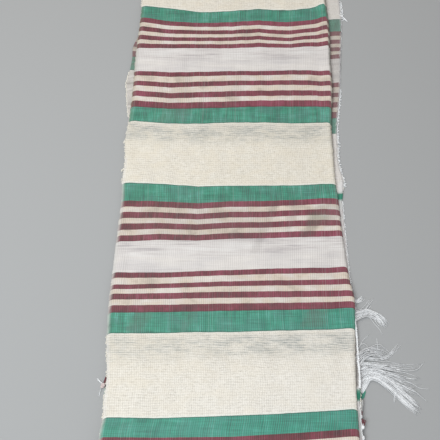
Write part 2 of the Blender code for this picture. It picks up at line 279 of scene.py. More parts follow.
# Single ends that stand out of the bundles
LOOSE_LARGE = (
    ((160, 88), (171.6, 105.8), (177.3, 114.3), (185.4, 121.0)),
    ((164, 94), (173.0, 108.0), (179.5, 108.6), (183.1, 103.4)),
    ((186, 90), (193.0, 103.4), (193.6, 109.4), (194.0, 116.7)),
    ((199, 63), (209.0, 54.0), (207.8, 48.3), (206.4, 41.0)),
    ((200, 62), (209.6, 55.0), (208.9, 48.3), (207.2, 40.2)),
    ((214, 79), (228.0, 77.0), (239.0, 79.0), (249.5, 88.5)),
    ((216, 66), (229.0, 63.0), (241.0, 57.0), (251.0, 55.5)),
    ((214, 62), (226.0, 58.0), (237.0, 50.0), (246.5, 41.5)),
)
LOOSE_SMALL = (
    ((158, 135), (174.2, 149.1), (181.1, 155.4), (189.5, 163.7)),
    ((158, 134), (175.4, 147.3), (184.2, 154.4), (191.4, 164.6)),
    ((158, 133), (176.4, 145.3), (186.2, 155.4), (195.4, 165.6)),
    ((160, 135), (179.0, 146.5), (187.1, 152.2), (191.5, 157.9)),
    ((175, 146), (187.3, 140.9), (194.0, 132.8), (201.5, 120.4)),
    ((176, 146), (189.9, 141.5), (195.5, 135.2), (200.5, 128.4)),
)
# Tufts of the woollen weft at the free left edge: where each leaves the edge and where it ends
LEFT_TUFTS = ((-129.5, 391.5, -135.6, 385.5), (-129.0, 348.5, -135.6, 342.7))
# Tuft of yarn beyond the lowest layer's free edge, far from the camera
FAR_TUFT = ((178.2, 616.9), (186.7, 608.5), (191.6, 604.7), (197.0, 598.5))
KNOT_CENTRE = (-140.0, 60.2)
# Fuzz of the lowest layer's free edge: from and to along the cloth, step, yarn, least and most reach
EDGE_FUZZ = (
    (474, 402, 2.3, 0.7, (2.4, 6.8)),
    (402, 319, 2.2, 0.7, (3.4, 8.8)),
    (297, 150, 2.0, 0.5, (1.2, 4.4)),
    (40, -12, 3.1, 0.4, (1.0, 2.6)),
)
# White lumps and maroon tufts of the lowest layer's free edge: along the cloth, size
EDGE_LUMPS = ((26.0, 0.9), (14.5, 1.4), (2.0, 1.1))
EDGE_TUFTS = ((30.0, 0.8), (19.5, 1.5))
KNOT_UP_GATES = (
    (-140.6, 60.5, -140.6, 62.5),
    (-144.4, 63.8, -145.0, 65.8),
    (-147.4, 68.0, -149.4, 70.2),
)
KNOT_DOWN_GATES = (
    (-141.4, 58.5, -140.6, 60.0),
    (-142.9, 53.2, -143.6, 54.4),
    (-143.4, 47.0, -144.8, 48.4),
)

FLOOR_REACH = 4000
FLOOR_HEIGHT = -0.05
SKY_STRENGTH = 0.43
CAMERA_FOOT = 28.3
CAMERA_HEIGHT = 669.5
CAMERA_TILT = 20
LENS = 43.57

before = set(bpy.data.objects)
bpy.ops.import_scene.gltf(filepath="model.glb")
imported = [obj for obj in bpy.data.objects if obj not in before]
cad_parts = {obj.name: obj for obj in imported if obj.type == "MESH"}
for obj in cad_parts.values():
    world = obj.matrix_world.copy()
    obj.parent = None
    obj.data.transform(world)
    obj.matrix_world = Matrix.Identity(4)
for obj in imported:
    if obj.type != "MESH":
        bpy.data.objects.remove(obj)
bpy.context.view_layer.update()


def smooth(share):
    share = np.clip(share, 0.0, 1.0)
    return share * share * (3 - 2 * share)


def curve(rows, columns, name, along):
    """Values of a named column at places along the cloth, on one smooth curve."""
    table = np.array(rows, dtype=float)[::-1]
    places = table[:, 0]
    values = table[:, columns.index(name)]
    slopes = np.empty(len(values))
    slopes[1:-1] = (values[2:] - values[:-2]) / (places[2:] - places[:-2])
    slopes[0] = (values[1] - values[0]) / (places[1] - places[0])
    slopes[-1] = (values[-1] - values[-2]) / (places[-1] - places[-2])
    along = np.clip(along, places[0], places[-1])
    index = np.clip(np.searchsorted(places, along) - 1, 0, len(places) - 2)
    step = places[index + 1] - places[index]
    share = (along - places[index]) / step
    cubic = 2 * share**3 - 3 * share**2
    return (
        (cubic + 1) * values[index]
        + (share**3 - 2 * share**2 + share) * slopes[index] * step
        - cubic * values[index + 1]
        + (share**3 - share**2) * slopes[index + 1] * step
    )


def edge(name, along):
    line = curve(EDGES, EDGE_COLUMNS, name, along)
    if name == "left_fold":
        for place, reach, spread in LEFT_BULGES:
            line = line - reach * np.exp(-(((along - place) / spread) ** 2))
    return line


def rest_height(along):
    total = np.zeros_like(along)
    for before, after in zip(REST, REST[1:]):
        share = smooth((before[0] - along) / (before[0] - after[0]))
        total = total + share * (after[1] - before[1])
    return total


def ridge_height(x, y):
    total = np.zeros_like(x)
    for x0, y0, x1, y1, spread, height in RIDGES:
        run = (x1 - x0) ** 2 + (y1 - y0) ** 2
        share = np.clip(((x - x0) * (x1 - x0) + (y - y0) * (y1 - y0)) / run, 0, 1)
        away = np.hypot(x - x0 - share * (x1 - x0), y - y0 - share * (y1 - y0))
        total = total + height * np.exp(-((away / spread) ** 2))
    return total


def waves(x, y, seed, length, count=9):
    """Smooth uneven field from -1 to 1: length is its (across, along) size in mm."""
    chance = random.Random(seed)
    total = 0.0
    for _ in range(count):
        turn = chance.uniform(0, 2 * math.pi)
        size = chance.uniform(0.6, 1.7)
        kx = math.cos(turn) / (length[0] * size)
        ky = math.sin(turn) / (length[1] * size)
        total = total + np.sin(2 * math.pi * (x * kx + y * ky) + chance.uniform(0, 2 * math.pi))
    return total / math.sqrt(count)


def near_edge(distance):
    return 1 - smooth(distance / FOLD_SOFTNESS)


def line_at(x, middle):
    """Place along the cloth, at places across it, of the line that crosses its middle there."""
    table = np.array(BOWS, dtype=float)[::-1]
    bows = [np.interp(middle, table[:, 0], column) for column in table[:, 1:].T]
    return middle + np.interp(x, BOW_STATIONS, bows)


def pattern_place(x, y):
    """Place in the pattern of the weft, at places across and along the top layer."""
    places = np.full(x.shape, float(LINES[-1][0]))
    for (far_place, far_middle), (near_place, near_middle) in zip(LINES, LINES[1:]):
        far, near = line_at(x, far_middle), line_at(x, near_middle)
        share = (far - y) / (far - near)
        inside = (share >= 0) & (share < 1)
        places = np.where(inside, far_place + share * (near_place - far_place), places)
    return places


def wool_share(place):
    """1 in a wool band and 0 in the silk ones."""
    within = np.mod(place, REPEAT)
    return smooth((within - (REPEAT - WOOL_BAND)) / 1.5 + 0.5) * smooth((REPEAT - within) / 1.5)


def layer_lift(layer, x, along, raised):
    if layer == 2:
        return np.zeros_like(x)
    left = LEFT_FOLD_LIFT * near_edge(x - edge("left_fold", along))
    ridges = ridge_height(x, along)
    if layer == 1:
        return raised * (left + 0.5 * ridges)
    right = edge("loose", along) * near_edge(edge("right_fold", along) - x)
    cockles = 0.22 * waves(x, along, 3, (16, 60)) + 0.12 * waves(x, along, 4, (7, 30))
    return raised * (left + ridges + right) + cockles


def eased(count, ends):
    """Shares from 0 to 1, closer together near both ends."""
    share = np.linspace(0, 1, count)
    return (1 - ends) * share + ends * smooth(share)


def path():
    """Stations of the sheet's length: along, place in y and z, angle, raised, pattern's along."""
    upper = np.linspace(FAR_END, TURN_CENTRE, 232)
    zero = np.zeros_like(upper)
    raised = smooth((upper - TURN_CENTRE) / RAISED_RUN)
    rows = [np.stack([upper, upper, rest_height(upper), zero, raised, upper], 1)]
    share = np.linspace(0, 1, 22)[1:]
    angle = math.pi * share
    centre = STACK + TURN_RADIUS
    y = TURN_CENTRE - TURN_RADIUS * np.sin(angle)
    z = centre + TURN_RADIUS * np.cos(angle)
    along = TURN_CENTRE - 3.5 * share
    rows.append(np.stack([along, y, z, angle, 0 * share, TURN_CENTRE - HAIRPIN_LENGTH * share], 1))
    far = np.linspace(0, LOWER_END_RIGHT - TURN_CENTRE, 30)[1:]
    flat = np.ones_like(far)
    rows.append(
        np.stack(
            [
                TURN_CENTRE - far,
                TURN_CENTRE + far,
                STACK * flat,
                math.pi * flat,
                0 * flat,
                TURN_CENTRE - HAIRPIN_LENGTH - far,
            ],
            1,
        )
    )
    return np.concatenate(rows)


def far_shift(along):
    """How far the lower layers lie short of the top one, which they do only near the far end."""
    return -UNDER_LAYER_SHIFT * smooth((along - FAR_END + CUT_END_RUN) / CUT_END_RUN)


def end_shift(x, under, along, angle):
    upper = under * far_shift(along)
    share = (TURN_CENTRE - along) / (LOWER_END_RIGHT - TURN_CENTRE)
    right, left = edge("right_fold", along), edge("top_left", along)
    skew = (right - x) / (right - left)
    lower = (LOWER_END_LEFT - LOWER_END_RIGHT) * skew * smooth(share)
    return np.where(angle == 0, upper, np.where(angle < math.pi - 1e-6, 0.0, lower))


def uneven(seed, along, size):
    """Small unevenness of an edge, in mm."""
    return size * (waves(along, along, seed, (9, 9)) + 0.6 * waves(along, along, seed + 1, (28, 28)))


def section_lines(stations):
    """Centre lines of the three layers at every station: x, height, under and place across."""
    along, raised = stations[:, 0:1], stations[:, 4:5]
    heights = [THICKNESS / 2 + (LAYERS - 1 - layer) * PITCH for layer in range(LAYERS)]
    right = edge("right_fold", along) + uneven(11, along, 0.25)
    left = edge("left_fold", along)
    right_bend = BEND + 0.5 * raised * edge("loose", along)
    left_bend = BEND + 0.5 * raised * LEFT_FOLD_LIFT
    free = edge("top_left", along) + uneven(21, along, 0.45)
    under_free = edge("under_right", along) + uneven(31, along, 0.4)
    lowest = np.concatenate([np.linspace(0, 0.86, 10)[:-1], np.linspace(0.86, 1, 16)])
    ends = (
        (free, right - right_bend, eased(96, 0.35)),
        (right - right_bend, left + left_bend, eased(14, 0.5)),
        (left + left_bend, under_free, lowest),
    )
    columns = []
    for layer, (start, end, shares) in enumerate(ends):
        x = start + shares[None, :] * (end - start)
        at = np.broadcast_to(along, x.shape)
        lift = layer_lift(layer, x, at, np.broadcast_to(raised, x.shape))
        if layer == 2:
            loose = smooth((x - (right + 1)) / 10) * raised
            lift = lift + loose * (0.7 + 0.8 * waves(at, at, 41, (60, 40)) ** 2)
        height = heights[layer] + lift
        under = (0 * x, smooth((start - x) / SHIFT_SPREAD), 0 * x + 1)[layer]
        if layer:
            side = 1 if layer == 1 else -1
            steps = (11, 9)[layer - 1]
            high, low = columns[-1][1][:, -1:], height[:, 0:1]
            angle = math.pi / 2 - math.pi * np.arange(1, steps)[None, :] / steps
            radius, middle = (high - low) / 2, (high + low) / 2
            arc_x = x[:, 0:1] + side * radius * np.cos(angle)
            arc_z = middle + radius * np.sin(angle)
            columns.append((arc_x, arc_z, 0 * arc_x + under[:, 0:1], 0 * arc_x + layer - 0.5))
        columns.append((x, height, under, 0 * x + layer))
    return [np.concatenate([c[i] for c in columns], axis=1) for i in range(4)]


def to_row(points):
    return (points - MIDDLE) * MM


def new_object(name, points, faces, material=None, shade=True):
    mesh = bpy.data.meshes.new(name)
    mesh.from_pydata([tuple(p) for p in to_row(np.asarray(points))], [], faces)
    mesh.update()
    if shade:
        mesh.shade_smooth()
    item = bpy.data.objects.new(name, mesh)
    bpy.context.scene.collection.objects.link(item)
    if material:
        mesh.materials.append(material)
    return item


def add_values(item, name, values):
    layer = item.data.attributes.new(name, "FLOAT", "POINT")
    layer.data.foreach_set("value", np.asarray(values, dtype=np.float32).ravel())


def sheet_faces(rows, count):
    """Faces of a closed sheet whose rows are rings of count points, with its two cut ends."""
    ring = np.arange(count)
    after = (ring + 1) % count
    first = np.arange(rows - 1)[:, None] * count
    second = first + count
    sides = np.stack([second + ring, second + after, first + after, first + ring], axis=2)
    k = np.arange(count // 2 - 1)
    cap = np.stack([k, k + 1, count - 2 - k, count - 1 - k], axis=1)
    last = cap[:, ::-1] + (rows - 1) * count
    return np.concatenate([sides.reshape(-1, 4), cap, last])


def shade_patches(x, place):
    """How much the top layer is darkened: painted shade in the broad patches, darker colour in the small
    ones.
    """
    total = np.zeros_like(x)
    for cx, cy, wide, tall, slant, amount in SHADES:
        skewed = x - cx - slant * (place - cy) + 1.8 * waves(x, place, 51, (20, 14))
        total = total + amount * np.exp(-((skewed / wide) ** 10) - ((place - cy) / tall) ** 8)
    return total


def green_showing(x, place, fold):
    """Green through the top layer, and green at the lowest layer's edge beyond the fold."""
    cx, cy, wide, tall, amount = GREEN_THROUGH
    through = amount * np.exp(-(((x - cx) / wide) ** 4) - ((place - cy) / tall) ** 4)
    corners = 0.0
    for low, high in GREEN_CORNERS:
        corners = corners + smooth((place - low) / 2) * smooth((high - place) / 2)
    return through, corners * smooth((x - fold + 4) / 1.5)


def make_sheet(material):
    stations = path()
    x, height, under, layer = section_lines(stations)
    at = stations[:, 0:1]
    angle = np.broadcast_to(stations[:, 3:4], x.shape)
    shown = np.broadcast_to(stations[:, 5:6], x.shape)
    free, left, fold, under_free = (edge(name, at) for name in EDGE_COLUMNS[1:5])
    top, lowest = layer < 0.5, (layer > 1.9) * (angle == 0)
    shift = end_shift(x, under, np.broadcast_to(at, x.shape), angle)
    place = shown + np.where(angle == 0, shift, 0) - np.where(angle > 3, shift, 0)

    # Where each point lies in the pattern of the weft
    leftish = under * (1 - smooth((x - left - 14) / 25))
    offset = np.interp(place, OFFSET_PLACES, OFFSETS)
    other_way = leftish * smooth((place - LEFT_OFFSET_FROM) / 20)
    offset = offset * under + (LEFT_OFFSET - offset) * other_way
    right_side = np.clip(1 - (fold - x) / RIGHT_DROP_RUN, 0, 1) ** 2
    right_drop = np.where(layer < 0.2, right_side, 1 - under)
    left_side = np.clip(1 - (x - free) / LEFT_DROP_RUN, 0, 1) ** 2
    left_drop = np.where(layer < 0.2, left_side, 0)
    far_half = smooth((place - 330) / 80)
    most = RIGHT_DROP_NEAR + (RIGHT_DROP - RIGHT_DROP_NEAR) * far_half
    pattern = pattern_place(x, place + offset + most * right_drop + LEFT_DROP * left_drop)

    # The two faces of the sheet: wool is a little thicker than silk
    wool = wool_share(pattern)
    half = THICKNESS / 2 + 0.1 * wool - 0.12 * (1 - wool)
    run, rise = np.gradient(x, axis=1), np.gradient(height, axis=1)
    length = np.hypot(run, rise)
    sides = []
    for sign in (1, -1):
        sx = x - sign * rise / length * half
        sz = height + sign * run / length * half
        y = stations[:, 1:2] - sz * np.sin(angle) + shift
        z = stations[:, 2:3] + sz * np.cos(angle)
        sides.append(np.stack([sx, y, np.maximum(z, LOWEST)], axis=2))
    points = np.concatenate([sides[0], sides[1][:, ::-1]], axis=1)
    faces = sheet_faces(*points.shape[:2])
    item = new_object("folded_cloth", points.reshape(-1, 3), faces.tolist(), material)

    # What the material reads at each point
    across = np.where(layer < 1.9, 2 * fold - free - x, 2 * fold - free - 2 * left + x)
    across = np.where(layer < 0.9, x - free, across)
    seen = np.interp(place, (180, 300), (0.75, 1.0))
    seen = seen + np.where(place < 240, 0.3 * smooth((x + 20) / 60), 0)
    # Painted shade where the top layer's right fold turns down, and on the middle layer beneath it;
    # weaker near the turned-under end
    turned = np.where(layer < 0.2, smooth(1 - (fold - x) / 5.5), 1 - under)
    # Painted shade on the lower layers near their left fold, under the top layer, uneven in blotches
    shade = 0.24 * leftish * (1 + 0.8 * waves(x, place, 61, (4, 6))) * (layer > 0.5)
    # Painted shadow of the top layer's right fold on the lowest layer where it shows beside it, from the
    # near green corner to about 168 mm along
    gap = smooth((under_free - 1.6 - x) / 0.8) * smooth((168 - place) / 30)
    gap = 0.75 * gap * smooth((place - GREEN_CORNERS[0][1]) / 6)
    through, corners = green_showing(x, place, fold)
    pale = np.interp(place, (322, 332), (7.5, 0.7))
    left_pale = 0.55 * smooth((free + 3.2 - x) / 2.0) * (place < 360) * top
    looks = {
        "pattern": pattern,
        "across": across,
        "along": shown,
        "top": np.where((layer == 0) & (angle < 0.1), seen, 0),
        "turned": turned * (0.45 + 0.55 * far_half) * (layer < 1),
        "selvedge": left_drop,
        "under": under,
        "shade": shade + shade_patches(x, place) * top + gap * lowest,
        "green_tint": through * top + corners * lowest,
        "pale": np.where(layer > 1.9, smooth((x - under_free + pale) / 0.8), left_pale),
    }
    for name, values in looks.items():
        add_values(item, name, np.concatenate([values, values[:, ::-1]], axis=1))
    return item


def stripe_stops():
    """Stops of one repeat of the weft: (place, colour), from a wool band's near edge."""
    stops = [(0.0, GREEN)]
    place = GREEN_BAND
    for after, band in ((WHITE, WHITE_BAND), (GREEN, GREEN_BAND)):
        for index, width in enumerate(STRIPE_GROUP):
            if index % 2:
                stops.append((place + MAROON_SPREAD, CREAM))
            else:
                stops.append((place - MAROON_SPREAD * (index > 0), MAROON))
            place += width
        stops.append((place, after))
        place += band
    stops.append((place, WOOL))
    return stops


def rim_stops():
    """Stops of the thin lines along the green bands, white there and black elsewhere."""
    second = GREEN_BAND + 2 * sum(STRIPE_GROUP) + WHITE_BAND
    lines = ((0.0, 0.9), (GREEN_BAND - 0.5, GREEN_BAND + 0.3), (second - 0.3, second + 0.5))
    lines += ((second + GREEN_BAND - 0.8, second + GREEN_BAND),)
    stops = []
    for low, high in lines:
        stops += [(low / REPEAT, grey(1)), (high / REPEAT, grey(0))]
    return stops


class Nodes:
    """Short ways to add and link a material's nodes."""

    def __init__(self, material):
        self.tree = material.node_tree

    def add(self, kind, inputs=(), **settings):
        node = self.tree.nodes.new(kind)
        for key, value in settings.items():
            setattr(node, key, value)
        for key, value in dict(inputs).items():
            if isinstance(value, bpy.types.NodeSocket):
                self.tree.links.new(value, node.inputs[key])
            else:
                node.inputs[key].default_value = value
        return node

    def math(self, operation, a, b=0.0, c=0.0, clamp=False):
        node = self.add("ShaderNodeMath", {0: a, 1: b, 2: c}, operation=operation, use_clamp=clamp)
        return node.outputs[0]

    def times(self, a, b):
        return self.math("MULTIPLY", a, b)

    def times_add(self, a, b, c):
        return self.math("MULTIPLY_ADD", a, b, c)

    def sine(self, turns):
        return self.math("SINE", self.times(turns, math.tau))

    def value(self, name):
        return self.add("ShaderNodeAttribute", attribute_name=name).outputs["Fac"]

    def spot(self, x, y, size, detail=2.0, rough=0.5, seed=0.0):
        """Noise from 0 to 1 whose features have about that (across, along) size in mm."""
        sx = self.math("DIVIDE", x, size[0])
        sy = self.math("DIVIDE", y, size[1])
        vector = self.add("ShaderNodeCombineXYZ", {0: sx, 1: sy, 2: seed}).outputs[0]
        inputs = {"Vector": vector, "Scale": 1.0, "Detail": detail, "Roughness": rough}
        return self.add("ShaderNodeTexNoise", inputs).outputs["Fac"]

    def ramp(self, fac, stops, constant=False):
        node = self.add("ShaderNodeValToRGB", {0: fac})
        node.color_ramp.interpolation = "CONSTANT" if constant else "LINEAR"
        elements = node.color_ramp.elements
        while len(elements) > 1:
            elements.remove(elements[-1])
        for index, (place, colour) in enumerate(stops):
            element = elements[0] if index == 0 else elements.new(place)
            element.position = place
            element.color = (*colour, 1.0)
        return node.outputs[0]

    def mix(self, fac, a, b, blend="MIX"):
        node = self.add("ShaderNodeMix", {0: fac, 6: a, 7: b}, data_type="RGBA", blend_type=blend)
        return node.outputs[2]

    def scale(self, value, low, high, new_low, new_high):
        node = self.add("ShaderNodeMapRange", {0: value, 1: low, 2: high, 3: new_low, 4: new_high})
        return node.outputs[0]


def grey(value):
    return (value, value, value)


class ClothNodes(Nodes):
    """Nodes of the cloth, with the places and the uneven fields that its colours share."""

    def __init__(self, material):
        super().__init__(material)
        self.x, self.y = self.value("across"), self.value("along")
        wander = self.noise((14, 400), 2.0, seed=3.0)
        place = self.math("ADD", self.value("pattern"), self.scale(wander, 0, 1, -0.5, 0.5))
        self.fraction = self.math("FRACT", self.math("DIVIDE", place, REPEAT))
        self.stops = [(at / REPEAT, colour) for at, colour in stripe_stops()]
        wool_stops = [(0, grey(0)), (self.stops[-1][0], grey(1))]
        self.wool = self.ramp(self.fraction, wool_stops, constant=True)
        self.silk = self.math("SUBTRACT", 1.0, self.wool)
        # Fine lines of the warp, uneven shots of the weft, and ends from the warp's own pitch
        self.warp = self.noise((1.1, 26), 3.0, 0.6, 1.0)
        self.shots = self.noise((34, 0.9), 3.0, 0.6, 4.0)
        self.patches = self.noise((30, 20), 3.0, 0.6, 5.0)
        drift = self.noise((11, 300), 2.0, 0.5, 11.0)
        self.ends = self.sine(self.times_add(drift, 1.5, self.math("DIVIDE", self.x, 2.5)))
        # Painted light: brighter silk and whiter wool towards the near end and the right
        near = self.times_add(self.x, 0.5, self.times(self.y, -1.0))
        self.near_light = self.scale(near, -120, 60, 0, 0.42)
        # Ribs, nubs and rows of the wool
        self.ribs = self.noise((7, 2.5), 3.0, 0.65, 6.0)
        self.nubs = self.noise((2.4, 1.8), 3.0, 0.6, 7.0)
        self.wobble = self.noise((30, 30), 2.0, seed=10.0)
        rows = self.times_add(self.wobble, 1.6, self.math("DIVIDE", self.y, 2.9))
        self.rows = self.sine(rows)
        self.grid = self.times_add(self.rows, 0.05, self.times(self.ends, 0.03))

    def noise(self, size, detail=2.0, rough=0.5, seed=0.0):
        return self.spot(self.x, self.y, size, detail, rough, seed)


def green_silk(cloth):
    """Green weft, with bright, greyish and teal lengths, and a painted sheen of brighter teal towards the
    near end and the right.
    """
    wide = cloth.noise((7, 46), 3.0, 0.6, 2.0)
    broad = cloth.noise((38, 15), 3.0, 0.6, 17.0)
    streak = cloth.times_add(cloth.warp, 0.34, cloth.times(wide, 0.33))
    streak = cloth.times_add(broad, 0.33, streak)
    dark, bright, palest = (0.060, 0.215, 0.158), (0.092, 0.385, 0.270), (0.15, 0.47, 0.37)
    green = cloth.ramp(
        cloth.scale(streak, 0.40, 0.59, 0, 1),
        [(0.0, dark), (0.42, GREEN), (0.75, bright), (1.0, palest)],
    )
    green = cloth.mix(cloth.scale(cloth.patches, 0.44, 0.62, 0, 0.5), green, (0.12, 0.29, 0.245, 1))
    return cloth.mix(cloth.near_light, green, (0.075, 0.42, 0.32, 1))


def maroon_silk(cloth):
    """Maroon weft with a painted sheen, brighter far to the right than near the turned-under end."""
    streak = cloth.times_add(cloth.patches, 0.5, cloth.times(cloth.warp, 0.5))
    maroon = cloth.ramp(
        cloth.scale(streak, 0.38, 0.62, 0, 1),
        [(0.0, (0.115, 0.050, 0.054)), (0.5, MAROON), (1.0, (0.33, 0.082, 0.125))],
    )
    far = cloth.scale(cloth.y, 15, 70, 0, 1)
    lit = cloth.times(cloth.scale(cloth.x, 60, 290, 0, 0.2), far)
    return cloth.mix(lit, maroon, (0.44, 0.11, 0.17, 1))


def cream_silk(cloth):
    dark, pale, palest = (0.63, 0.54, 0.45), (0.77, 0.68, 0.60), (0.84, 0.77, 0.70)
    return cloth.ramp(
        cloth.scale(cloth.patches, 0.35, 0.64, 0, 1),
        [(0.0, dark), (0.35, CREAM), (0.65, pale), (1.0, palest)],
    )


def white_silk(cloth):
    """White weft, streaked with mauve over part of its band."""
    mauve = cloth.noise((70, 2.1), 4.0, 0.66, 12.0)
    cloudy = cloth.noise((60, 14), 2.0, 0.5, 13.0)
    streak = cloth.times_add(mauve, 0.55, cloth.times(cloudy, 0.45))
    streaks = cloth.ramp(
        cloth.scale(streak, 0.38, 0.60, 0, 1),
        [(0.0, (0.53, 0.485, 0.485)), (0.4, (0.73, 0.675, 0.65)), (1.0, (0.83, 0.79, 0.765))],
    )
    before = GREEN_BAND + sum(STRIPE_GROUP)
    within = cloth.times_add(cloth.fraction, REPEAT / WHITE_BAND, -before / WHITE_BAND)
    amounts = ((0.0, 0.35), (0.12, 1), (0.45, 0.9), (0.62, 0.25), (1.0, 0.35))
    streaked = cloth.ramp(cloth.scale(within, 0, 1, 0, 1), [(at, grey(v)) for at, v in amounts])
    clouds = cloth.scale(cloudy, 0.4, 0.62, 0, 1)
    plain = cloth.mix(clouds, (0.75, 0.705, 0.685, 1), (0.82, 0.76, 0.715, 1))
    return cloth.mix(streaked, plain, streaks)


def green_through(cloth, past_green):
    """How much of the lower layer's green shows through the wool beside a green band."""
    amounts = ((0.0, 0.7), (0.04, 0.25), (0.10, 0.8), (0.2, 1), (0.42, 0.8), (0.58, 0.15), (0.7, 0))
    through = cloth.ramp(cloth.scale(past_green, 0, 60, 0, 1), [(at, grey(v)) for at, v in amounts])
    blotch = cloth.scale(cloth.noise((30, 9), 3.0, 0.6, 8.0), 0.38, 0.58, 0.30, 1.0)
    threads = cloth.scale(cloth.noise((10, 1.5), 4.0, 0.7, 15.0), 0.38, 0.62, 0.28, 0.95)
    threads = cloth.times(threads, cloth.scale(cloth.rows, -1, 1, 1.15, 0.55))
    through = cloth.times(through, cloth.times(blotch, cloth.value("top")))
    return cloth.times(through, threads)


def nubby_wool(cloth):
    """Woollen weft: nubby ribs, creamy patches, specks and dark gaps between its rows, with painted light
    that whitens it towards the near end.
    """
    mixed = cloth.times_add(cloth.nubs, 0.35, cloth.grid)
    mixed = cloth.times_add(cloth.ribs, 0.65, mixed)
    wool = cloth.ramp(
        cloth.scale(mixed, 0.32, 0.68, 0, 1),
        [(0.0, (0.62, 0.57, 0.49)), (0.45, WOOL), (1.0, (0.93, 0.88, 0.80))],
    )
    creamy = cloth.scale(cloth.noise((26, 15), 3.0, 0.6, 14.0), 0.42, 0.62, 0, 0.38)
    # Painted light: less cream and more white towards the near end
    creamy = cloth.math("ADD", creamy, cloth.scale(cloth.near_light, 0, 0.42, 0.22, 0))
    wool = cloth.mix(creamy, wool, (0.81, 0.725, 0.59, 1))
    wool = cloth.mix(cloth.times(cloth.near_light, 0.7), wool, (0.96, 0.91, 0.86, 1))
    specks = cloth.scale(cloth.noise((6, 5), 1.0, 0.5, 18.0), 0.70, 0.78, 0, 0.3)
    wool = cloth.mix(specks, wool, (0.55, 0.50, 0.43, 1))
    between_rows = cloth.scale(cloth.rows, -0.2, -1.0, 0, 0.13)
    gaps = cloth.math("MAXIMUM", between_rows, cloth.scale(cloth.ends, -0.3, -1.0, 0, 0.18))
    gaps = cloth.times(gaps, cloth.scale(cloth.wobble, 0.3, 0.65, 0.35, 1.2))
    wool = cloth.mix(gaps, wool, (0.30, 0.29, 0.28, 1))
    past_green = cloth.math("SUBTRACT", cloth.fraction, cloth.stops[-1][0])
    past_green = cloth.times(past_green, REPEAT)
    wool = cloth.mix(green_through(cloth, past_green), wool, (0.34, 0.355, 0.34, 1))
    amounts = ((0.0, 0.7), (0.022, 0), (0.975, 0), (0.99, 0.6))
    border = cloth.ramp(cloth.scale(past_green, 0, WOOL_BAND, 0, 1), [(at, grey(v)) for at, v in amounts])
    return cloth.mix(border, wool, (0.84, 0.86, 0.80, 1))


def woven_lines(cloth, colour, masks):
    """Dark shots of the weft, warp ends over the silk, and the lines beside the green bands."""
    shots = cloth.times(cloth.silk, cloth.scale(cloth.shots, 0.3, 0.7, 0.16, 0.0))
    green_shots = cloth.scale(cloth.shots, 0.36, 0.6, 0.20, 0.0)
    shots = cloth.times_add(masks["green"], green_shots, shots)
    colour = cloth.mix(shots, colour, (0.02, 0.02, 0.02, 1))
    amount = cloth.silk
    for kind, share in (("green", 0.35), ("cream", -0.35), ("white", -0.6)):
        amount = cloth.times_add(masks[kind], share, amount)
    strong = cloth.scale(cloth.noise((18, 60), 3.0, 0.6, 16.0), 0.36, 0.62, 0.08, 0.46)
    strong = cloth.times(strong, amount)
    dark_ends = cloth.times(cloth.scale(cloth.ends, 0.2, 1.0, 0, 1), strong)
    colour = cloth.mix(dark_ends, colour, (0.07, 0.065, 0.065, 1))
    hair = cloth.noise((1.5, 900), 1.0, 0.5, 9.0)
    light_ends = cloth.times(cloth.scale(hair, 0.56, 0.76, 0, 0.13), cloth.silk)
    colour = cloth.mix(light_ends, colour, (0.62, 0.60, 0.58, 1))
    rims = cloth.ramp(cloth.fraction, rim_stops(), constant=True)
    return cloth.mix(cloth.times(rims, 0.4), colour, (0.035, 0.045, 0.04, 1))


def edge_tints(cloth, colour):
    """Greyer where the weft turns; painted shade, dark and brownish, on the right fold and on the layers
    below the top one; pale edges, green showing, and the shade attribute's darkening.
    """
    for name, share, strength, tint in (
        ("selvedge", cloth.silk, 0.5, (0.24, 0.24, 0.17)),
        # Painted shade on the right fold
        ("turned", 1.0, 0.62, (0.13, 0.12, 0.095)),
        # Painted shade on the layers below the top one, greyer on wool and darker on silk
        ("under", cloth.wool, 0.6, (0.66, 0.62, 0.61)),
        ("under", cloth.silk, 0.36, (0.27, 0.25, 0.23)),
        ("pale", 1.0, 0.85, (0.76, 0.73, 0.72)),
        ("green_tint", 1.0, 1.0, (0.05, 0.26, 0.175)),
        ("shade", 1.0, 1.0, (0.15, 0.13, 0.11)),
    ):
        amount = cloth.times(cloth.value(name), cloth.times(share, strength))
        colour = cloth.mix(amount, colour, (*tint, 1))
    return colour


def weave_relief(cloth):
    """Bump of the weave: ribs of the wool, and fine lines of the silk."""
    nubby = cloth.times_add(cloth.grid, 2.2, cloth.math("ADD", cloth.ribs, cloth.nubs))
    wool_height = cloth.times(nubby, cloth.times(cloth.wool, 0.9))
    lines = cloth.times_add(cloth.ends, -0.18, cloth.times(cloth.warp, 0.3))
    lines = cloth.times_add(cloth.shots, 0.35, lines)
    height = cloth.times_add(lines, cloth.times(cloth.silk, 0.5), wool_height)
    bump = cloth.add("ShaderNodeBump", {"Height": height, "Distance": 0.0012, "Strength": 0.8})
    return bump.outputs[0]


